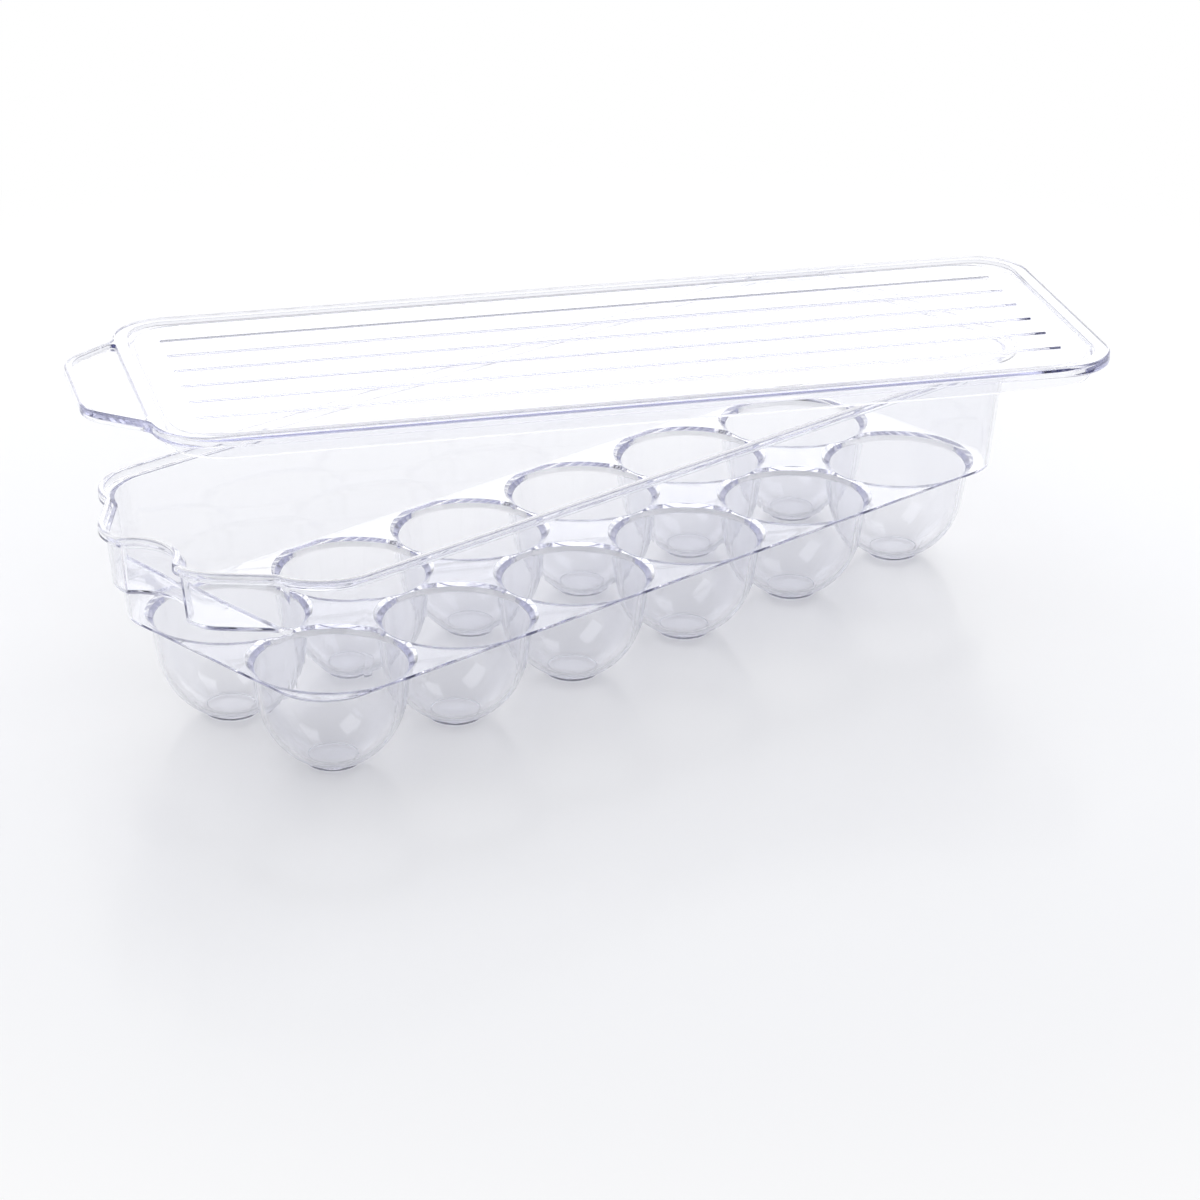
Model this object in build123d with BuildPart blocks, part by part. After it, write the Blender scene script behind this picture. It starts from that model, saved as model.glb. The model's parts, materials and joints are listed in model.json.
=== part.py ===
"""Clear fridge keeper for twelve eggs: a tray with two rows of egg cups and a loose lid.

Frame: millimetres, +Z up. X runs along the tray with the handle at -X, Y across it.
The origin is the middle of the tray, on the plane that its feet stand on. The lid has
been lifted off its seat and lies askew across the rim of the tray.
"""

import os
from itertools import pairwise
from math import radians, tan

from build123d import *

os.makedirs("parts", exist_ok=True)

# Egg cups, in a grid along and across the tray
cups_along = 6
cups_across = 2
cup_pitch_x = 48.0
cup_pitch_y = 47.8
cup_mouth_radius = 24.8  # where the sloping lip meets the deck
cup_lip_depth = 2.2
cup_top_radius = 24.0  # outside, at the deck
cup_side_height = 13.4  # drafted part of the side, below the deck
cup_side_draft = 8.0  # degrees
cup_wall = 1.5
foot_radius = 8.0
foot_height = 0.8

# Tray walls, from the deck that joins the cups up to the rim
deck_height = 33.4
deck_thickness = 1.1
side_strip = 0.1  # of flat deck between the cups and the long walls
end_strip = 0.7  # of flat deck between the cups and the end walls
wall_thickness = 1.3
wall_draft = 5.8  # degrees, opening upwards
wall_corner_radius = 17.0  # outside, at the foot of the wall
wall_foot_radius = 1.0  # of the edge along the foot
rim_height = 73.1
bead_height = 3.2
bead_overhang = 2.2
bead_corner_radius = 19.7  # outside
bead_edge_radius = 0.8
rebate_depth = 2.6  # step inside the rim
rebate_width = 1.6

# Handle: a bay of the end wall, with a floor to grip under and a scoop for a finger.
# Its plan is given at the foot of its wall, above the bevel around its underside.
bay_foot_height = 54.8
bay_bevel = 1.0
bay_floor_thickness = 1.3
bay_reach = 16.2
bay_root_half_width = 38.0
bay_tip_half_width = 21.3
bay_tip_radius = 13.0
bay_root_radius = 8.0
scoop_radius = 16.9
scoop_depth = 7.4
horn_radius = 1.6  # where the scoop meets the tip

# Lid
lid_end_overhang = 0.4  # past the bead
lid_side_inset = 0.6  # short of the bead
lid_corner_radius = 18.0
lid_edge_height = 3.7
lid_edge_radius = 0.8
lid_border_width = 4.8
plate_thickness = 1.8
plate_recess = 1.1  # from the top of the border down to the plate
tab_reach = 18.4
tab_root_half_width = 38.0
tab_tip_half_width = 22.5
tab_tip_radius = 14.0
tab_root_radius = 6.0
tab_border_width = 2.6
skirt_clearance = 0.3  # to the inside of the rim, when the lid is on
skirt_depth = 4.8
skirt_thickness = 1.6
rib_count = 6
rib_pitch = 14.1
rib_width = 1.6
rib_height = 0.6
rib_end_gap = 14.5  # from a rib's end to the lid's end

# How the lid lies across the rim
lid_rest_x = 34.6
lid_rest_y = 22.1
lid_rest_yaw = -28.7  # degrees
lid_rest_gap = 0.2  # from the rim up to the skirt

# Sizes that follow from the ones above
slope = tan(radians(wall_draft))
cup_slope = tan(radians(cup_side_draft))
cup_floor_radius = foot_radius - cup_wall / 4
cup_lip_inner_radius = cup_top_radius - cup_wall - cup_lip_depth * cup_slope
wall_foot_height = deck_height - deck_thickness
bead_foot_height = rim_height - bead_height
bay_floor_height = bay_foot_height - bay_bevel
bay_inside_height = bay_floor_height + bay_floor_thickness
band_thickness = wall_thickness + bead_overhang - rebate_width
foot_half_length = (
    cup_pitch_x * (cups_along - 1) / 2 + cup_mouth_radius + end_strip + wall_thickness
)
foot_half_width = (
    cup_pitch_y * (cups_across - 1) / 2 + cup_mouth_radius + side_strip + wall_thickness
)


def flare(low, high):
    """How far the wall leans out from one height to another."""
    return (high - low) * slope


lid_half_length = (
    foot_half_length + flare(wall_foot_height, bead_foot_height) + bead_overhang + lid_end_overhang
)
lid_half_width = (
    foot_half_width + flare(wall_foot_height, bead_foot_height) + bead_overhang - lid_side_inset
)
plate_top = lid_edge_height - plate_recess
lid_rest_height = rim_height + lid_rest_gap + skirt_depth


def wall_outline(z, grow=0.0, corner_radius=None):
    """Rounded rectangle of the outside of the wall at height z, moved out by grow."""
    out = flare(wall_foot_height, z) + grow
    with BuildSketch() as outline:
        RectangleRounded(
            2 * (foot_half_length + out),
            2 * (foot_half_width + out),
            corner_radius or wall_corner_radius + out,
        )
    return outline.sketch


def with_bay(box, half_length, reach, root, tip, tip_radius, root_radius):
    """Outline of a box with a rounded, tapering bay on its -X end."""
    with BuildSketch() as outline:
        add(box)
        with BuildLine():
            Polyline(
                (0, root),
                (-half_length, root),
                (-half_length - reach, tip),
                (-half_length - reach, -tip),
                (-half_length, -root),
                (0, -root),
                close=True,
            )
        make_face()
        fillet(outline.vertices().group_by(Axis.X)[0], tip_radius)
        offset(amount=root_radius)
        offset(amount=-root_radius)
    return outline.sketch


def bay_outline(z, grow=0.0, corner_radius=None):
    """Outline of the wall and its bay at height z, moved out by grow."""
    half_length = foot_half_length + flare(wall_foot_height, bay_foot_height)
    tip_x = -half_length - bay_reach
    out = flare(bay_foot_height, z) + grow
    with BuildSketch() as outline:
        add(
            with_bay(
                wall_outline(
                    bay_foot_height, corner_radius=corner_radius and corner_radius - out
                ),
                half_length,
                bay_reach,
                bay_root_half_width,
                bay_tip_half_width,
                bay_tip_radius,
                bay_root_radius,
            )
        )
        with Locations((tip_x + scoop_depth - scoop_radius, 0)):
            Circle(scoop_radius, mode=Mode.SUBTRACT)
        offset(amount=-horn_radius)
        offset(amount=horn_radius + out)
    return outline.sketch


def cup_section(inset, bottom_radius, bottom_height):
    """Half section of a cup: a drafted side, then a round bottom down to a flat one."""
    top_radius = cup_top_radius - inset
    side_foot = (top_radius - cup_side_height * cup_slope, deck_height - cup_side_height)
    bottom = (bottom_radius, bottom_height)
    with BuildSketch(Plane.XZ) as section:
        with BuildLine():
            side = Line((top_radius, deck_height), side_foot)
            TangentArc(side_foot, bottom, tangent=side % 1)
            Polyline(bottom, (0, bottom_height), (0, deck_height), (top_radius, deck_height))
        make_face()
    return section.sketch


def lid_outline():
    """Outline of the lid, with its tab."""
    with BuildSketch() as body:
        RectangleRounded(2 * lid_half_length, 2 * lid_half_width, lid_corner_radius)
    return with_bay(
        body.sketch,
        lid_half_length,
        tab_reach,
        tab_root_half_width,
        tab_tip_half_width,
        tab_tip_radius,
        tab_root_radius,
    )


def tab_recess():
    """Outline of the lowered plate in the lid's tab."""
    with BuildSketch() as recess:
        add(lid_outline())
        offset(amount=-tab_border_width)
        with Locations((-lid_half_length, 0)):
            Rectangle(
                tab_reach, 2 * lid_half_width, align=(Align.MAX, Align.CENTER), mode=Mode.INTERSECT
            )
    return recess.sketch


def skirt_outline(grow=0.0):
    """Outline of the lid's skirt, which clears the inside of the rim, moved out by grow."""
    return wall_outline(rim_height - skirt_depth, grow - wall_thickness - skirt_clearance)


with BuildPart() as cup_outside:
    add(cup_section(0, foot_radius, foot_height))
    revolve(axis=Axis.Z)
    with BuildSketch():
        Circle(foot_radius)
    extrude(amount=foot_height)

with BuildPart() as cup_hollow:
    add(cup_section(cup_wall, cup_floor_radius, foot_height + cup_wall))
    revolve(axis=Axis.Z)
    with BuildSketch(Plane.XZ):
        with BuildLine():
            Polyline(
                (0, deck_height - cup_lip_depth),
                (cup_lip_inner_radius, deck_height - cup_lip_depth),
                (cup_mouth_radius, deck_height),
                (0, deck_height),
                close=True,
            )
        make_face()
    revolve(axis=Axis.Z)

with BuildPart() as bead:
    with BuildSketch(Plane.XY.offset(bead_foot_height)):
        add(bay_outline(bead_foot_height, bead_overhang, corner_radius=bead_corner_radius))
    extrude(amount=bead_height)
    fillet(bead.edges().filter_by(Axis.Z, reverse=True), bead_edge_radius)

with BuildPart() as walls:
    # Block, then the bay's bevelled underside and its wall
    with BuildSketch(Plane.XY.offset(wall_foot_height)):
        add(wall_outline(wall_foot_height))
    extrude(amount=bay_foot_height - wall_foot_height, taper=-wall_draft)
    fillet(walls.faces().sort_by(Axis.Z)[0].edges(), wall_foot_radius)
    with BuildSketch(Plane.XY.offset(bay_floor_height)):
        add(bay_outline(bay_foot_height, -bay_bevel))
    with BuildSketch(Plane.XY.offset(bay_foot_height)):
        add(bay_outline(bay_foot_height))
    loft(ruled=True)
    for z in (bay_foot_height, bead_foot_height):
        with BuildSketch(Plane.XY.offset(z)):
            add(bay_outline(z))
    loft(ruled=True)
    add(bead.part)

    # Inside, wider above the bay's floor
    with BuildSketch(Plane.XY.offset(wall_foot_height)):
        add(wall_outline(wall_foot_height, -wall_thickness))
    extrude(amount=bay_inside_height - wall_foot_height, taper=-wall_draft, mode=Mode.SUBTRACT)
    for z in (bay_inside_height, rim_height):
        with BuildSketch(Plane.XY.offset(z)):
            add(bay_outline(z, -wall_thickness))
    loft(ruled=True, mode=Mode.SUBTRACT)

    # Rebate inside the rim
    with BuildSketch(Plane.XY.offset(rim_height - rebate_depth)):
        add(
            bay_outline(
                bead_foot_height,
                bead_overhang - band_thickness,
                corner_radius=bead_corner_radius - band_thickness,
            )
        )
    extrude(amount=rebate_depth, mode=Mode.SUBTRACT)

with BuildPart() as nest:
    with BuildSketch(Plane.XY.offset(wall_foot_height)):
        add(wall_outline(wall_foot_height, -wall_thickness))
    extrude(amount=deck_thickness, taper=-wall_draft)
    with GridLocations(cup_pitch_x, cup_pitch_y, cups_along, cups_across):
        add(cup_outside.part)
        add(cup_hollow.part, mode=Mode.SUBTRACT)


def section(moulding, x_span, y_span):
    """The part of the tray's moulding between two planes across it and two along it."""
    with BuildPart() as piece:
        add(moulding)
        with BuildSketch():
            with Locations((sum(x_span) / 2, sum(y_span) / 2)):
                Rectangle(x_span[1] - x_span[0], y_span[1] - y_span[0])
        extrude(amount=rim_height, mode=Mode.INTERSECT)
    return piece.part


# The tray is one moulding. Its walls are divided past the corners, its cups between them.
corner_x = foot_half_length - wall_corner_radius
far_x = foot_half_length + 2 * bay_reach
far_y = 2 * foot_half_width
pieces = {
    "handle_end": section(walls.part, (-far_x, -corner_x), (-far_y, far_y)),
    "plain_end": section(walls.part, (corner_x, far_x), (-far_y, far_y)),
    "front_wall": section(walls.part, (-corner_x, corner_x), (-far_y, 0)),
    "back_wall": section(walls.part, (-corner_x, corner_x), (0, far_y)),
}
across_cuts = [cup_pitch_x * (i - cups_along / 2) for i in range(1, cups_along)]
for i, x_span in enumerate(pairwise([-far_x, *across_cuts, far_x]), 1):
    pieces[f"cup_front_{i}"] = section(nest.part, x_span, (-far_y, 0))
    pieces[f"cup_back_{i}"] = section(nest.part, x_span, (0, far_y))

lid_plane = Plane(Location((lid_rest_x, lid_rest_y, lid_rest_height), (0, 0, lid_rest_yaw)))

with BuildPart() as lid:
    with BuildSketch(lid_plane):
        add(lid_outline())
    extrude(amount=lid_edge_height)
    fillet(lid.faces().filter_by(Plane.XY).edges(), lid_edge_radius)

    # Plate between the raised borders, thinner than the edge on both faces
    with BuildSketch(lid_plane.offset(plate_top)):
        add(tab_recess())
        RectangleRounded(
            2 * (lid_half_length - lid_border_width),
            2 * (lid_half_width - lid_border_width),
            lid_corner_radius - lid_border_width,
        )
    extrude(amount=plate_recess, mode=Mode.SUBTRACT)
    with BuildSketch(lid_plane):
        add(tab_recess())
        add(skirt_outline(-skirt_thickness))
    extrude(amount=plate_top - plate_thickness, mode=Mode.SUBTRACT)

    # Ribs along the top of the plate
    with BuildSketch(lid_plane.offset(plate_top)):
        with GridLocations(0, rib_pitch, 1, rib_count):
            Rectangle(2 * (lid_half_length - rib_end_gap), rib_width)
    extrude(amount=rib_height)

    # Skirt that fits inside the rim, from the plate down
    with BuildSketch(lid_plane.offset(plate_top - plate_thickness)):
        add(skirt_outline())
        add(skirt_outline(-skirt_thickness), mode=Mode.SUBTRACT)
    extrude(amount=plate_thickness - plate_top - skirt_depth)

pieces["lid"] = lid.part

for name, piece in pieces.items():
    piece.label = name
    export_step(piece, f"parts/{name}.step")
    box = piece.bounding_box()
    print(name, "is valid:", piece.is_valid, "solids:", len(piece.solids()))
    print("  from", box.min, "to", box.max, "volume", round(piece.volume))
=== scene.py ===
"""Studio scene of the clear egg keeper: fine surfaces, materials, lamps, floor and camera."""

import json
import math

import bmesh
import bpy
import numpy as np
from mathutils import Matrix, Vector, geometry


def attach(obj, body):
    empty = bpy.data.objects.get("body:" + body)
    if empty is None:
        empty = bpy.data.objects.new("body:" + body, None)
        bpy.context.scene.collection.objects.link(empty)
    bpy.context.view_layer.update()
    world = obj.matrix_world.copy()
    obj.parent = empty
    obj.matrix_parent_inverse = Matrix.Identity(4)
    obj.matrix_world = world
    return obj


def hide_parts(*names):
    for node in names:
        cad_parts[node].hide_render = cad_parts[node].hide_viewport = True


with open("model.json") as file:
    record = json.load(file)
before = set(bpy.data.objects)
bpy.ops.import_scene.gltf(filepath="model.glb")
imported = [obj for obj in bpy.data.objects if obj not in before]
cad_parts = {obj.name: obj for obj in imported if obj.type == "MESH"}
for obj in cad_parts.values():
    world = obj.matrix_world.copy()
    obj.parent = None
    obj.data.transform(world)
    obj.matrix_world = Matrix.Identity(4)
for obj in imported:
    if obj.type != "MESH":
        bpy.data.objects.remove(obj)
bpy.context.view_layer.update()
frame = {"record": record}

MM = 0.001
STEP = 1e-5  # millimetres, within which two points of a flat are one
NEAR = 1e-6  # a smaller difference counts as none
WELD, SPECK = 3e-6, 1e-7  # metres, for merging points and for dropping faces without area

# Sizes of the solids, in millimetres
PITCH = np.array([48.0, 47.8])
COUNT = (6, 2)
CUP_RADIUS = 24.0  # outside, at the deck
CUP_SIDE = 13.4  # drafted part of the side, below the deck
CUP_WALL = 1.5
MOUTH_RADIUS, LIP_DEPTH = 24.8, 2.2
FOOT_RADIUS, FOOT_HEIGHT = 8.0, 0.8
DECK, DECK_FOOT = 33.4, 32.3
SLOPE = math.tan(math.radians(5.8))  # of the walls
DRAFT = math.tan(math.radians(8.0))  # of the cups
BAY_FOOT, FLOOR_TOP, FLOOR_UNDERSIDE = 54.8, 55.1, 53.8
BAY = dict(reach=16.2, root=38.0, tip=21.3, tip_radius=13.0, root_radius=8.0)
SCOOP = (16.9, 7.4, 1.6)  # its radius, its depth and the radius of the horns beside it
RIM, BEAD_FOOT, LEDGE = 73.1, 69.9, 70.5
WALL = 1.3
WALL_CORNER, BEAD_CORNER = 17.0, 19.7
BEAD_OUT, BAND, BEAD_EDGE = 2.2, 1.9, 0.8
LID_PAST_BEAD = np.array([0.4, -0.6])  # at the lid's ends and at its sides
LID_HEIGHT, LID_CORNER, LID_EDGE, LID_BORDER = 3.7, 18.0, 0.8, 4.8
PLATE_TOP, PLATE_FOOT = 2.6, 0.8
TAB = dict(reach=18.4, root=38.0, tip=22.5, tip_radius=14.0, root_radius=6.0)
TAB_BORDER = 2.6
RIB_COUNT, RIB_PITCH, RIB_WIDTH, RIB_HEIGHT = 6, 14.1, 1.6, 0.6
RIB_END_GAP = 14.5  # from a rib's end to the lid's end
SKIRT_DEPTH, SKIRT_WALL, SKIRT_CLEARANCE = 4.8, 1.6, 0.3
LID_REST, LID_YAW = (0.0346, 0.0221, 0.0781), -28.7  # metres and degrees

# How finely the surfaces are divided: points in each stretch of an outline
CORNER_POINTS, END_POINTS, SIDE_POINTS = 18, 10, 44
BAY_POINTS, HORN_POINTS, SCOOP_POINTS = 12, 10, 16
BOWL_POINTS, FILLET_POINTS = 22, 5
CUP_POINTS = 84
QUARTER = np.radians([0, 22.5, 45, 67.5, 90])
SHARP_ANGLE = 28  # degrees between two faces from which their edge stays sharp

# A rib's side, as distances out of its outline and heights above the plate
RIB_PROFILE = ((0.3, 0), (0.1, 0.05), (0, 0.2), (-0.1, 0.4), (-0.3, 0.55), (-0.55, RIB_HEIGHT))


def flare(low, high):
    """How far the wall leans out from one height to another."""
    return (high - low) * SLOPE


FOOT_HALF = np.array([146.8, 50.1])
WALL_HALF = FOOT_HALF + flare(DECK_FOOT, BAY_FOOT)
BEAD_DISTANCE = flare(BAY_FOOT, BEAD_FOOT) + BEAD_OUT


def turn(vector, degrees):
    """A plane vector turned anticlockwise."""
    c, s = math.cos(math.radians(degrees)), math.sin(math.radians(degrees))
    return np.array([c * vector[0] - s * vector[1], s * vector[0] + c * vector[1]])


def arc(centre, radius, start, end, count, side=1):
    """Points of an arc without its last one, and the directions out of the outline there."""
    angles = np.linspace(start, end, count, endpoint=False)
    out = np.stack([np.cos(angles), np.sin(angles)], 1)
    return np.asarray(centre) + radius * out, side * out


def straight(start, end, out, count):
    """Points of a straight stretch without its last one, and the direction out of the outline."""
    share = np.linspace(0, 1, count, endpoint=False)[:, None]
    points = np.asarray(start) * (1 - share) + np.asarray(end) * share
    return points, np.tile(np.asarray(out, float), (count, 1))


def bay_loop(half, corner, reach, root, tip, tip_radius, root_radius, scoop=None):
    """Outline of a rounded box with a bay on its -X end, as points and outward directions.

    The part on +Y is built from +X to the tip, then mirrored. scoop is its radius, its depth
    and the radius of the horns beside it."""
    length, width = half
    lean = (root - tip) / reach
    along = np.array([-1, -lean]) / math.hypot(1, lean)
    out = np.array([-lean, 1]) / math.hypot(1, lean)
    start = np.array([-length, root])
    centre = np.array([corner - length, width - corner])
    offset = start + root_radius * out - centre
    b = offset @ along
    root_centre = centre + offset + along * (
        -b + math.sqrt(b * b - offset @ offset + (corner + root_radius) ** 2)
    )
    if root_centre[1] < centre[1]:
        root_centre[0] = -length - root_radius
        root_centre[1] = root + (root_radius - out[0] * (root_centre[0] + length)) / out[1]
        leave = np.array([-length, root_centre[1]])
        corner_end = math.pi
    else:
        toward = (root_centre - centre) / np.linalg.norm(root_centre - centre)
        leave = centre + corner * toward
        corner_end = math.atan2(toward[1], toward[0])
    root_start = math.atan2(*(leave - root_centre)[::-1])
    root_end = math.atan2(-out[1], -out[0])
    tip_x = -length - reach
    tip_centre = np.array([tip_x + tip_radius, 0.0])
    tip_centre[1] = root + (-tip_radius - out[0] * (tip_centre[0] + length)) / out[1]
    pieces = [
        straight((length, 0), (length, width - corner), (1, 0), END_POINTS),
        arc((length - corner, width - corner), corner, 0, math.pi / 2, CORNER_POINTS),
        straight((length - corner, width), (corner - length, width), (0, 1), SIDE_POINTS),
        arc(centre, corner, math.pi / 2, corner_end, CORNER_POINTS),
    ]
    last = np.array([math.cos(corner_end), math.sin(corner_end)])
    flank_start, flank_end = root_centre - root_radius * out, tip_centre + tip_radius * out
    flank_angle = math.atan2(out[1], out[0])
    pieces += [
        straight(centre + corner * last, leave, last, 2),
        arc(root_centre, root_radius, root_start, root_end, BAY_POINTS, -1),
        straight(flank_start, flank_end, out, END_POINTS),
        arc(tip_centre, tip_radius, flank_angle, math.pi, BAY_POINTS),
    ]
    flat_start = (tip_x, tip_centre[1])
    if scoop is None:
        pieces.append(straight(flat_start, (tip_x, 0), (-1, 0), BAY_POINTS))
        last_point = (tip_x, 0)
    else:
        radius, depth, horn = scoop
        scoop_centre = np.array([tip_x + depth - radius, 0.0])
        horn_centre = np.array([tip_x + horn, 0.0])
        horn_centre[1] = math.sqrt(
            (radius + horn) ** 2 - (horn_centre[0] - scoop_centre[0]) ** 2
        )
        pieces.append(straight(flat_start, (tip_x, horn_centre[1]), (-1, 0), 4))
        toward = scoop_centre - horn_centre
        horn_end = math.atan2(toward[1], toward[0]) % (2 * math.pi)
        pieces.append(arc(horn_centre, horn, math.pi, horn_end, HORN_POINTS))
        pieces.append(arc(scoop_centre, radius, horn_end - math.pi, 0, SCOOP_POINTS, -1))
        last_point = (tip_x + depth, 0)
    points = np.concatenate([p for p, _ in pieces] + [[last_point]])
    outs = np.concatenate([n for _, n in pieces] + [[(-1, 0)]])
    mirror = np.array([1, -1])
    return (
        np.concatenate([points, points[-2:0:-1] * mirror]),
        np.concatenate([outs, outs[-2:0:-1] * mirror]),
    )


def box_under(loop, half, corner):
    """The rounded box alone, with a point beside each point of a loop that has a bay."""
    points, outs = loop[0].copy(), loop[1].copy()
    centre = half - corner
    for i in np.flatnonzero(points[:, 0] < -centre[0]):
        y = points[i, 1]
        rise = max(abs(y) - centre[1], 0.0)
        run = math.sqrt(max(corner**2 - rise**2, 0))
        points[i, 0] = -centre[0] - run
        outs[i] = (-run / corner, math.copysign(rise / corner, y)) if rise else (-1, 0)
    return points, outs


def rounded_polygon(corners, radii, count=10, spacing=12.0):
    """Outline with rounded corners, anticlockwise, as points and outward directions."""
    corners = [np.asarray(c, float) for c in corners]
    total = len(corners)
    pieces = []
    for i, (corner, radius) in enumerate(zip(corners, radii)):
        before = corner - corners[i - 1]
        after = corners[(i + 1) % total] - corner
        before /= np.linalg.norm(before)
        after /= np.linalg.norm(after)
        out_before = turn(before, -90)
        out_after = turn(after, -90)
        bend = math.atan2(before[0] * after[1] - before[1] * after[0], before @ after)
        centre = corner - before * radius * math.tan(bend / 2) - radius * out_before
        start = math.atan2(out_before[1], out_before[0])
        pieces.append((centre, radius, start, bend, out_after))
    points, outs = [], []
    for i, (centre, radius, start, bend, out_after) in enumerate(pieces):
        p, n = arc(centre, radius, start, start + bend, count)
        points.append(p)
        outs.append(n)
        end = centre + radius * out_after
        following = pieces[(i + 1) % total]
        target = following[0] + following[1] * out_after
        length = np.linalg.norm(target - end)
        p, n = straight(end, target, out_after, max(2, int(length / spacing)))
        points.append(p)
        outs.append(n)
    return np.concatenate(points), np.concatenate(outs)


def rounded_box(half, corner):
    """Outline of a rounded box."""
    x, y = half
    return rounded_polygon([(x, -y), (x, y), (-x, y), (-x, -y)], [corner] * 4, CORNER_POINTS)


def row(loop, distance, height):
    """An outline moved outward, at a height. Both numbers may differ from point to point."""
    points, outs = loop
    distance = np.broadcast_to(distance, len(points))
    height = np.broadcast_to(height, len(points))
    return np.column_stack([points + outs * distance[:, None], height])


def rounding(radius):
    """Steps round an edge, as the distances still to go to one face and left from the other."""
    return [(radius * (1 - math.sin(a)), radius * (1 - math.cos(a))) for a in QUARTER]


def between(start, end):
    """Four rows at equal steps between two others."""
    return [start + (end - start) * share for share in (0.2, 0.4, 0.6, 0.8)]


def smooth_profile(corners, radii):
    """Open polyline with its inner corners rounded."""
    corners = [np.asarray(c, float) for c in corners]
    points = [corners[0]]
    for i, radius in enumerate(radii, 1):
        before = corners[i] - corners[i - 1]
        after = corners[i + 1] - corners[i]
        before /= np.linalg.norm(before)
        after /= np.linalg.norm(after)
        bend = math.atan2(before[0] * after[1] - before[1] * after[0], before @ after)
        start = corners[i] - before * radius * math.tan(abs(bend) / 2)
        centre = start + math.copysign(radius, bend) * turn(before, 90)
        for share in np.linspace(0, 1, FILLET_POINTS):
            points.append(centre + turn(start - centre, math.degrees(bend) * share))
    points.append(corners[-1])
    return np.array(points)


def tangent_arc(start, direction, end, count):
    """Points of the arc that leaves start along a direction and ends at end."""
    direction = np.asarray(direction, float) / np.linalg.norm(direction)
    start, end = np.asarray(start, float), np.asarray(end, float)
    side = turn(direction, 90)
    chord = end - start
    radius = (chord @ chord) / (2 * side @ chord)
    centre = start + radius * side
    first, last = start - centre, end - centre
    bend = math.degrees(math.atan2(first[0] * last[1] - first[1] * last[0], first @ last))
    return np.array([centre + turn(first, bend * t) for t in np.linspace(0, 1, count)])


class Shell:
    """Collects the faces of one closed surface, in millimetres."""

    def __init__(self):
        self.points = []
        self.faces = []
        self.total = 0

    def add(self, points, faces):
        """Adds points and the faces between them."""
        self.points.append(np.asarray(points))
        self.faces += [tuple(i + self.total for i in face) for face in faces]
        self.total += len(points)

    def strip(self, rows):
        """Quads between closed rows with equal numbers of points."""
        count = len(rows[0])
        faces = []
        for r in range(len(rows) - 1):
            for i in range(count):
                j = (i + 1) % count
                low, high = r * count, (r + 1) * count
                faces.append((low + i, low + j, high + j, high + i))
        self.add(np.concatenate(rows), faces)

    def flat(self, outer, holes, height, edges=None):
        """Fills the plane between an outer outline and holes.

        edges stand in for the outlines of holes that run into each other."""
        points, lines, index = [], [], {}

        def place(point):
            key = (round(point[0] / STEP), round(point[1] / STEP))
            if key not in index:
                index[key] = len(points)
                points.append(Vector((float(point[0]), float(point[1]))))
            return index[key]

        for loop in [outer] + (holes if edges is None else []):
            ids = [place(p) for p in loop]
            lines += [(a, b) for a, b in zip(ids, ids[1:] + ids[:1]) if a != b]
        for a, b in edges or []:
            lines.append((place(a), place(b)))
        found = geometry.delaunay_2d_cdt(points, lines, [], 0, 1e-7)
        flat_points = np.array([tuple(p) for p in found[0]])
        triangles = np.array([tuple(t) for t in found[2]])
        middles = flat_points[triangles].mean(axis=1)
        keep = inside(middles, np.asarray(outer)[:, :2])
        for hole in holes:
            keep &= ~inside(middles, np.asarray(hole)[:, :2])
        self.add(
            np.column_stack([flat_points, np.full(len(flat_points), height)]),
            [tuple(t) for t in triangles[keep]],
        )


def inside(points, loop):
    """Which points lie inside a closed outline."""
    x, y = points[:, 0], points[:, 1]
    result = np.zeros(len(points), bool)
    for (ax, ay), (bx, by) in zip(loop, np.roll(loop, -1, axis=0)):
        if ay == by:
            continue
        crosses = (ay > y) != (by > y)
        result ^= crosses & (x < ax + (y - ay) * (bx - ax) / (by - ay))
    return result


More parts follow.
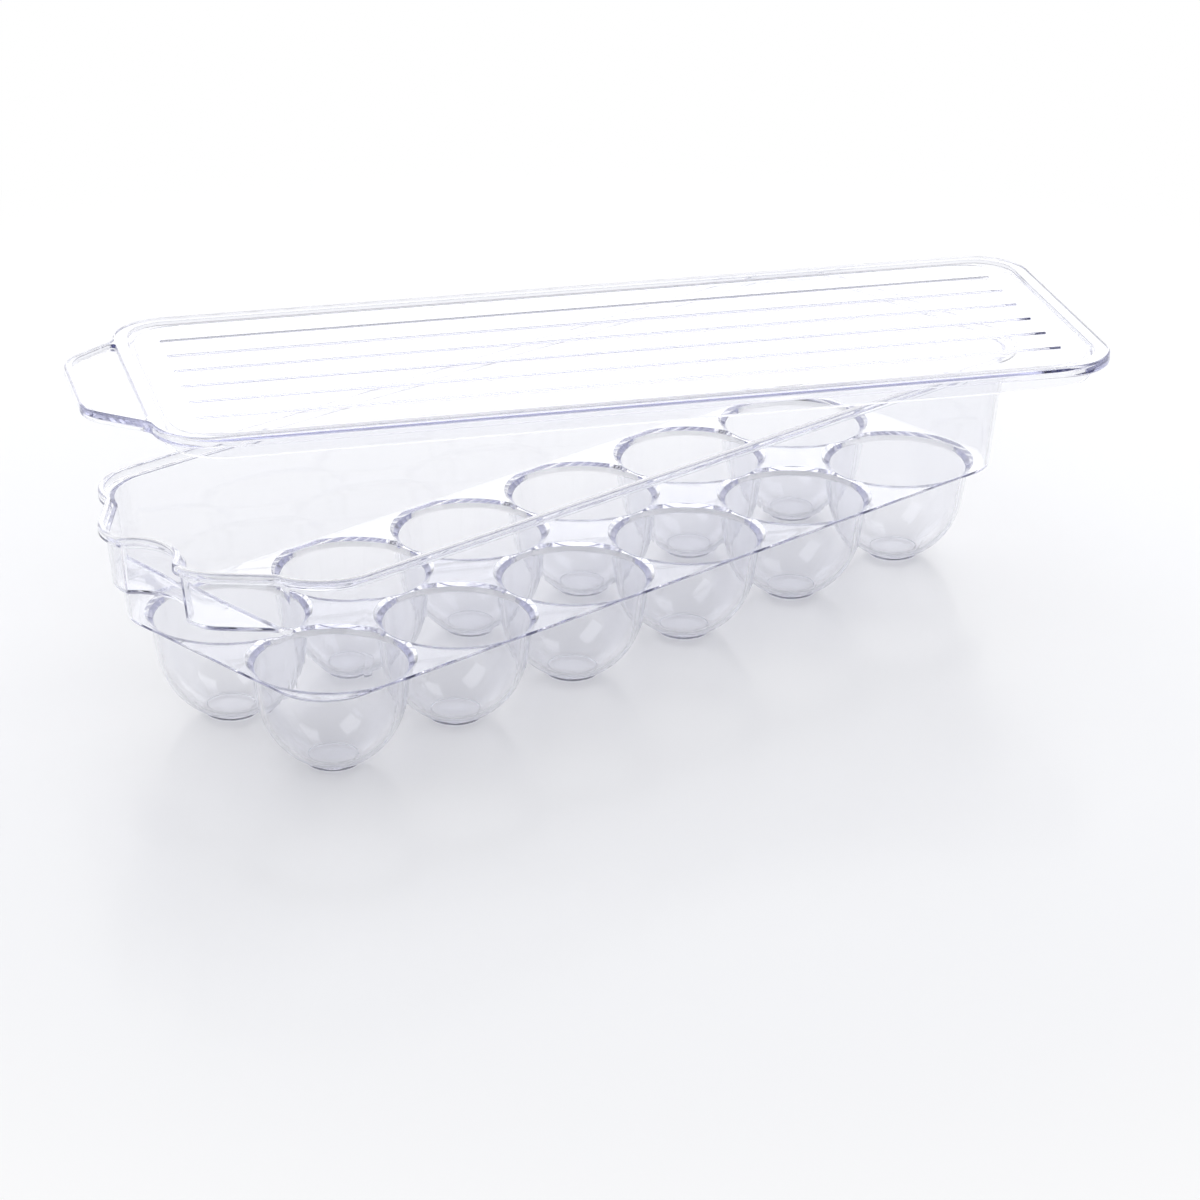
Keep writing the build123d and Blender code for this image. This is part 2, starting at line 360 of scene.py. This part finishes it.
def wall_rows():
    """Rows of the tray's wall, from the deck over the rim and down to its foot."""
    corner = WALL_CORNER + flare(DECK_FOOT, BAY_FOOT)
    upper = bay_loop(WALL_HALF, corner, scoop=SCOOP, **BAY)
    bead = bay_loop(WALL_HALF, BEAD_CORNER - BEAD_DISTANCE, scoop=SCOOP, **BAY)
    lower = box_under(upper, WALL_HALF, corner)
    # The edges of the bay's floor soften where it is wider than this
    soft = np.clip(np.linalg.norm(upper[0] - lower[0], axis=1) / 2.5, 0, 1)

    def outer(loop, height, shift=0.0):
        return row(loop, (height - BAY_FOOT) * SLOPE + shift, height)

    def inner(loop, height, shift=0.0):
        return outer(loop, height, shift - WALL)

    # Inside, up to the bay's floor, along it and up to the rim's ledge
    rows = [inner(lower, z) for z in (DECK, 35.5, 39, 43, 47, 51, 53.5)]
    rows += [inner(lower, FLOOR_TOP - s, soft * c) for s, c in rounding(0.5)]
    fillets = [inner(upper, FLOOR_TOP + c, -soft * s) for s, c in rounding(0.3)]
    rows += between(rows[-1], fillets[0]) + fillets
    rows += [inner(upper, z) for z in (57, 60, 63, 66, 69, 70.2)]
    rows += [inner(upper, LEDGE - s, c) for s, c in rounding(0.3)[1:]]
    # Rebate and bead
    ledge = BEAD_DISTANCE - BAND
    rows += [row(bead, ledge - s, LEDGE + c) for s, c in rounding(0.25)]
    rows += [row(bead, ledge + c, RIM - s) for s, c in rounding(0.5)]
    rows += [row(bead, BEAD_DISTANCE - s, RIM - c) for s, c in rounding(BEAD_EDGE)]
    rows += [row(bead, BEAD_DISTANCE - c, BEAD_FOOT + s) for s, c in rounding(BEAD_EDGE)]
    # Outside, down to the bay's underside, along it and down to the foot
    rows += [outer(upper, BEAD_FOOT - c, s) for s, c in rounding(0.3)]
    rows += [outer(upper, z) for z in (66, 63, 60, 57)]
    rows += [outer(upper, FLOOR_UNDERSIDE + s, -soft * c) for s, c in rounding(1.2)]
    fillets = [outer(lower, FLOOR_UNDERSIDE - c, soft * s) for s, c in rounding(0.6)]
    rows += between(rows[-1], fillets[0]) + fillets
    rows += [outer(lower, z) for z in (50, 46, 42, 38, 35)]
    rows += [outer(lower, DECK_FOOT + s, -c) for s, c in rounding(1.0)]
    return rows


def cup_profiles():
    """Radius and height from the middle of a cup up its outside, and up its hollow."""
    side = np.array([-DRAFT, -1.0])
    foot = (CUP_RADIUS - CUP_SIDE * DRAFT, DECK - CUP_SIDE)
    outside = np.concatenate(
        [
            [(0, 0), (2.5, 0), (5.0, 0)],
            smooth_profile([(0, 0), (FOOT_RADIUS, 0), (FOOT_RADIUS, FOOT_HEIGHT)], [0.3])[1:],
            tangent_arc(foot, side, (FOOT_RADIUS, FOOT_HEIGHT), BOWL_POINTS)[-2::-1],
            [(CUP_RADIUS - (DECK - z) * DRAFT, z) for z in (22, 25, 28, 30.5, DECK_FOOT)],
        ]
    )
    floor_radius, floor_height = FOOT_RADIUS - CUP_WALL / 4, FOOT_HEIGHT + CUP_WALL
    foot = (foot[0] - CUP_WALL, foot[1])
    lip_foot = (CUP_RADIUS - CUP_WALL - LIP_DEPTH * DRAFT, DECK - LIP_DEPTH)
    lip = smooth_profile(
        [foot, lip_foot, (MOUTH_RADIUS, DECK), (MOUTH_RADIUS + 1, DECK)], [1.0, 0.2]
    )
    hollow = np.concatenate(
        [
            [(0, floor_height), (2.5, floor_height), (5.0, floor_height)],
            tangent_arc(foot, side, (floor_radius, floor_height), BOWL_POINTS)[::-1],
            lip[1:-1],
        ]
    )
    return outside, hollow


def cup_angles(mouth):
    """Angles round a cup, with those where its mouth meets a neighbour's."""
    sharp = [math.acos(PITCH[0] / 2 / mouth), math.asin(PITCH[1] / 2 / mouth)]
    marks = [s * a + k for k in (0, math.pi) for s in (1, -1) for a in sharp]
    even = np.arange(CUP_POINTS) * math.pi / (CUP_POINTS / 2)
    return np.unique(np.round(np.concatenate([even, np.mod(marks, 2 * math.pi)]), 9))


def cup_limit(place, directions):
    """How far the cup at a place in the grid reaches each way before it meets a neighbour."""
    limit = np.full(len(directions), np.inf)
    for axis, number in enumerate(place):
        for sign, neighbour in ((1, number < COUNT[axis] - 1), (-1, number > 0)):
            if neighbour:
                reach = directions[:, axis] * sign
                facing = reach > NEAR
                limit[facing] = np.minimum(limit[facing], PITCH[axis] / 2 / reach[facing])
    return limit


def tray_shell():
    """Surface of the whole tray moulding."""
    shell = Shell()
    walls = wall_rows()
    shell.strip(walls)
    outside, hollow = cup_profiles()
    mouth = hollow[-1, 0]
    angles = cup_angles(mouth)
    directions = np.stack([np.cos(angles), np.sin(angles)], 1)
    mouths, kept, feet = [], [], []
    for place in np.ndindex(COUNT):
        middle = (np.array(place) - (np.array(COUNT) - 1) / 2) * PITCH
        limit = cup_limit(place, directions)
        rows = []
        for radius, height in hollow:
            r = np.minimum(radius, limit)
            z = np.where(radius > limit, np.interp(limit, hollow[:, 0], hollow[:, 1]), height)
            rows.append(np.column_stack([middle + directions * r[:, None], z]))
        shell.strip(rows)
        edge = rows[-1][:, :2]
        mouths.append(edge)
        # The deck ends at a mouth's edge, except along a saddle between two cups
        cut, bounded = limit < mouth - NEAR, limit <= mouth + NEAR
        for a in range(len(angles)):
            b = (a + 1) % len(angles)
            if not (cut[a] or cut[b]) and not (bounded[a] and bounded[b]):
                kept.append((edge[a], edge[b]))
        rows = [
            np.column_stack([middle + directions * r, np.full(len(angles), z)])
            for r, z in outside
        ]
        shell.strip(rows)
        feet.append(rows[-1][:, :2])
    shell.flat(walls[0][:, :2], mouths, DECK, kept)
    shell.flat(walls[-1][:, :2], feet, DECK_FOOT)
    return shell


def tab_recess(half):
    """Outline of the lowered plate in the lid's tab."""
    lean = (TAB["root"] - TAB["tip"]) / TAB["reach"]
    root = TAB["root"] - TAB_BORDER * math.hypot(1, lean)
    tip = root - lean * (TAB["reach"] - TAB_BORDER)
    tip_x = -half[0] - TAB["reach"] + TAB_BORDER
    tip_radius, root_radius = TAB["tip_radius"] - TAB_BORDER, 1.2
    return rounded_polygon(
        [(tip_x, tip), (tip_x, -tip), (-half[0], -root), (-half[0], root)],
        [tip_radius, tip_radius, root_radius, root_radius],
    )


def lid_shell():
    """Surface of the lid, in its own frame with the underside of its border at height 0."""
    shell = Shell()
    half = FOOT_HALF + flare(DECK_FOOT, BEAD_FOOT) + BEAD_OUT + LID_PAST_BEAD
    edge = bay_loop(half, LID_CORNER, **TAB)
    rows = [row(edge, -s, c) for s, c in rounding(LID_EDGE)]
    rows += [row(edge, -c, LID_HEIGHT - s) for s, c in rounding(LID_EDGE)]
    shell.strip(rows)

    # Border, and the plate and tab lowered in it
    tab = tab_recess(half)
    tops, floors = [], []
    for loop in (rounded_box(half - LID_BORDER, LID_CORNER - LID_BORDER), tab):
        rows = [row(loop, s, LID_HEIGHT - c) for s, c in rounding(0.35)]
        rows += [row(loop, -c, PLATE_TOP + s) for s, c in rounding(0.4)]
        shell.strip(rows)
        tops.append(rows[0][:, :2])
        floors.append(rows[-1][:, :2])
    shell.flat(row(edge, -LID_EDGE, LID_HEIGHT)[:, :2], tops, LID_HEIGHT)
    shell.flat(floors[1], [], PLATE_TOP)

    ribs = []
    rib_end = half[0] - RIB_END_GAP
    for k in range(RIB_COUNT):
        y = (k - (RIB_COUNT - 1) / 2) * RIB_PITCH
        low, high = y - RIB_WIDTH / 2, y + RIB_WIDTH / 2
        outline = rounded_polygon(
            [(rib_end, low), (rib_end, high), (-rib_end, high), (-rib_end, low)],
            [0.75] * 4,
            count=5,
            spacing=20.0,
        )
        rows = [row(outline, out, PLATE_TOP + rise) for out, rise in RIB_PROFILE]
        shell.strip(rows)
        shell.flat(rows[-1][:, :2], [], PLATE_TOP + RIB_HEIGHT)
        ribs.append(rows[0][:, :2])
    shell.flat(floors[0], ribs, PLATE_TOP)

    # Underside, with the skirt that fits inside the rim
    grow = flare(DECK_FOOT, RIM - SKIRT_DEPTH) - WALL - SKIRT_CLEARANCE
    outside = rounded_box(FOOT_HALF + grow, WALL_CORNER + grow)
    hollow = rounded_box(FOOT_HALF + grow - SKIRT_WALL, WALL_CORNER + grow - SKIRT_WALL)
    rows = [row(outside, s, -c) for s, c in rounding(0.3)]
    rows += [row(outside, -c, s - SKIRT_DEPTH) for s, c in rounding(0.5)]
    rows += [row(hollow, s, c - SKIRT_DEPTH) for s, c in rounding(0.5)]
    rows += [row(hollow, -c, PLATE_FOOT - s) for s, c in rounding(0.5)]
    shell.strip(rows)
    shell.flat(rows[-1][:, :2], [], PLATE_FOOT)
    under = [row(tab, 0.2, 0), row(tab, 0, 0.2)]
    under += [row(tab, -c, PLATE_FOOT - s) for s, c in rounding(0.3)]
    shell.strip(under)
    shell.flat(under[-1][:, :2], [], PLATE_FOOT)
    shell.flat(row(edge, -LID_EDGE, 0)[:, :2], [rows[0][:, :2], under[0][:, :2]], 0.0)
    return shell


def surface(name, shell, place=Matrix.Identity(4)):
    """Object made of a shell, with its faces merged into one closed surface."""
    mesh = bpy.data.meshes.new(name)
    points = np.concatenate(shell.points) * MM
    mesh.from_pydata([tuple(p) for p in points], [], shell.faces)
    mesh.transform(place)
    work = bmesh.new()
    work.from_mesh(mesh)
    bmesh.ops.remove_doubles(work, verts=work.verts, dist=WELD)
    bmesh.ops.dissolve_degenerate(work, dist=SPECK, edges=work.edges)
    bmesh.ops.recalc_face_normals(work, faces=work.faces)
    work.to_mesh(mesh)
    work.free()
    mesh.polygons.foreach_set("use_smooth", [True] * len(mesh.polygons))
    mesh.set_sharp_from_angle(angle=math.radians(SHARP_ANGLE))
    piece = bpy.data.objects.new(name, mesh)
    bpy.context.scene.collection.objects.link(piece)
    weights = piece.modifiers.new("even_flats", "WEIGHTED_NORMAL")
    weights.keep_sharp = True
    return piece


def node_tree(owner):
    """Empties the node tree of a material or world. Returns functions to add and link nodes."""
    owner.use_nodes = True
    tree = owner.node_tree
    tree.nodes.clear()

    def add(kind, inputs=None, **settings):
        """Adds a node, with values for its inputs and for its own settings."""
        node = tree.nodes.new(kind)
        for name, value in settings.items():
            setattr(node, name, value)
        for name, value in (inputs or {}).items():
            node.inputs[name].default_value = value
        return node

    return add, tree.links.new


def clear_plastic(name):
    """Clear moulded plastic: faint flow ripples, slightly uneven gloss, and lamps pass it."""
    tint, roughness = (0.97, 0.972, 0.984), 0.02
    material = bpy.data.materials.new(name)
    add, link = node_tree(material)
    output = add("ShaderNodeOutputMaterial")
    plastic = add(
        "ShaderNodeBsdfPrincipled",
        {"Base Color": (*tint, 1), "Transmission Weight": 1, "IOR": 1.49},
    )
    where = add("ShaderNodeTexCoord")
    flow = add("ShaderNodeTexNoise", {"Scale": 28, "Detail": 2})
    link(where.outputs["Object"], flow.inputs["Vector"])
    relief = add("ShaderNodeBump", {"Strength": 0.05, "Distance": 0.0004})
    link(flow.outputs["Fac"], relief.inputs["Height"])
    link(relief.outputs["Normal"], plastic.inputs["Normal"])
    gloss = add("ShaderNodeMapRange", {"To Min": roughness * 0.6, "To Max": roughness * 1.4})
    link(flow.outputs["Fac"], gloss.inputs["Value"])
    link(gloss.outputs["Result"], plastic.inputs["Roughness"])
    # Thick edges turn lavender
    depth = add("ShaderNodeVolumeAbsorption", {"Color": (0.5, 0.51, 0.72, 1), "Density": 14})
    link(depth.outputs["Volume"], output.inputs["Volume"])
    # Shadow rays go straight through. A wall has two faces, so each takes the root of the tint
    light_path = add("ShaderNodeLightPath")
    shade = add("ShaderNodeBsdfTransparent", {"Color": (*(math.sqrt(c) for c in tint), 1)})
    mix = add("ShaderNodeMixShader")
    link(light_path.outputs["Is Shadow Ray"], mix.inputs[0])
    link(plastic.outputs["BSDF"], mix.inputs[1])
    link(shade.outputs["BSDF"], mix.inputs[2])
    link(mix.outputs["Shader"], output.inputs["Surface"])
    return material


def white_floor():
    """Glossy sheet just below the tray's feet, which fades into the white backdrop."""
    half_side, drop = 3.0, 0.0002
    fade_start, fade_end = 0.22, 0.5
    corners = [(x * half_side, y * half_side, 0) for x, y in ((-1, -1), (1, -1), (1, 1), (-1, 1))]
    mesh = bpy.data.meshes.new("floor")
    mesh.from_pydata(corners, [], [(0, 1, 2, 3)])
    sheet = bpy.data.objects.new("floor", mesh)
    bpy.context.scene.collection.objects.link(sheet)
    sheet.location.z = -drop
    material = bpy.data.materials.new("white_table")
    mesh.materials.append(material)
    add, link = node_tree(material)
    output = add("ShaderNodeOutputMaterial")
    table = add(
        "ShaderNodeBsdfPrincipled", {"Base Color": (0.92, 0.92, 0.935, 1), "Roughness": 0.2}
    )
    where = add("ShaderNodeTexCoord")
    distance = add("ShaderNodeVectorMath", operation="LENGTH")
    link(where.outputs["Object"], distance.inputs[0])
    fade = add(
        "ShaderNodeMapRange",
        {"From Min": fade_start, "From Max": fade_end},
        interpolation_type="SMOOTHSTEP",
    )
    link(distance.outputs["Value"], fade.inputs["Value"])
    white = add("ShaderNodeEmission")
    mix = add("ShaderNodeMixShader")
    link(fade.outputs["Result"], mix.inputs[0])
    link(table.outputs["BSDF"], mix.inputs[1])
    link(white.outputs["Emission"], mix.inputs[2])
    link(mix.outputs["Shader"], output.inputs["Surface"])
    return sheet


def area_lamp(name, place, target, size, power):
    """Soft box at a place, facing a target."""
    data = bpy.data.lights.new(name, "AREA")
    data.shape = "RECTANGLE"
    data.size, data.size_y = size
    data.energy = power
    lamp = bpy.data.objects.new(name, data)
    bpy.context.scene.collection.objects.link(lamp)
    lamp.location = place
    lamp.rotation_euler = (Vector(target) - Vector(place)).to_track_quat("-Z", "Y").to_euler()


def studio_world():
    """Grey room that lights the object, and a white backdrop that is seen, also through it."""
    world = bpy.data.worlds.new("studio")
    bpy.context.scene.world = world
    add, link = node_tree(world)
    output = add("ShaderNodeOutputWorld")
    room = add("ShaderNodeBackground", {"Color": (0.93, 0.94, 0.96, 1), "Strength": 0.7})
    backdrop = add("ShaderNodeBackground", {"Color": (1, 1, 1, 1)})
    # The backdrop darkens overhead
    where = add("ShaderNodeTexCoord")
    axes = add("ShaderNodeSeparateXYZ")
    height = add(
        "ShaderNodeMapRange",
        {"From Min": 0.5, "From Max": 0.72, "To Min": 1.0, "To Max": 0.2},
        interpolation_type="SMOOTHSTEP",
    )
    link(where.outputs["Generated"], axes.inputs["Vector"])
    link(axes.outputs["Z"], height.inputs["Value"])
    link(height.outputs["Result"], backdrop.inputs["Strength"])
    paths = add("ShaderNodeLightPath")
    seen = add("ShaderNodeMath", operation="MAXIMUM")
    seen_through = add("ShaderNodeMath", operation="MAXIMUM")
    mix = add("ShaderNodeMixShader")
    link(paths.outputs["Is Camera Ray"], seen.inputs[0])
    link(paths.outputs["Is Glossy Ray"], seen.inputs[1])
    link(seen.outputs[0], seen_through.inputs[0])
    link(paths.outputs["Is Transmission Ray"], seen_through.inputs[1])
    link(seen_through.outputs[0], mix.inputs[0])
    link(room.outputs[0], mix.inputs[1])
    link(backdrop.outputs[0], mix.inputs[2])
    link(mix.outputs[0], output.inputs["Surface"])


def photo_camera():
    """Camera fitted to the photograph, which is 1200 pixels wide."""
    sensor, focal_pixels, photo_pixels = 36, 4370.64, 1200
    azimuth, elevation, roll = math.radians(-43.25), math.radians(23.18), math.radians(0.47)
    target, distance = Vector((0.01012, 0, 0.00653)), 1.3869
    data = bpy.data.cameras.new("camera")
    data.sensor_width = sensor
    data.lens = sensor * focal_pixels / photo_pixels
    data.clip_end = 20
    camera = bpy.data.objects.new("camera", data)
    bpy.context.scene.collection.objects.link(camera)
    back = Vector(
        (
            math.sin(azimuth) * math.cos(elevation),
            -math.cos(azimuth) * math.cos(elevation),
            math.sin(elevation),
        )
    )
    right = (-back).cross(Vector((0, 0, 1))).normalized()
    up = right.cross(-back)
    turned_right = math.cos(roll) * right + math.sin(roll) * up
    turned_up = -math.sin(roll) * right + math.cos(roll) * up
    camera.matrix_world = Matrix.Translation(target + back * distance) @ Matrix(
        (turned_right, turned_up, back)
    ).transposed().to_4x4()
    bpy.context.scene.camera = camera


tray_plastic = clear_plastic("clear_tray_plastic")
lid_plastic = clear_plastic("clear_lid_plastic")
lid_place = Matrix.Translation(LID_REST) @ Matrix.Rotation(math.radians(LID_YAW), 4, "Z")
tray = surface("tray_moulding", tray_shell())
lid = surface("lid_moulding", lid_shell(), lid_place)
for piece, body, material in ((tray, "tray", tray_plastic), (lid, "lid", lid_plastic)):
    piece.data.materials.append(material)
    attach(piece, body)
    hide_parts(*frame["record"]["behaviour"]["bodies"][body])

floor = white_floor()
area_lamp("back_box", (1.0, 1.06, 0.72), (0, 0, 0), (2.4, 1.2), 7.5)
area_lamp("left_box", (-0.9, 0.2, 1.25), (0, 0, 0.03), (0.7, 0.9), 3)
area_lamp("right_box", (0.75, -0.4, 1.25), (0, 0, 0.03), (0.6, 0.8), 2.5)
studio_world()
photo_camera()

bpy.context.scene.view_settings.view_transform = "Standard"
# Light turns back many times inside the thin clear walls
cycles = bpy.context.scene.cycles
cycles.max_bounces = cycles.transmission_bounces = cycles.glossy_bounces = 96
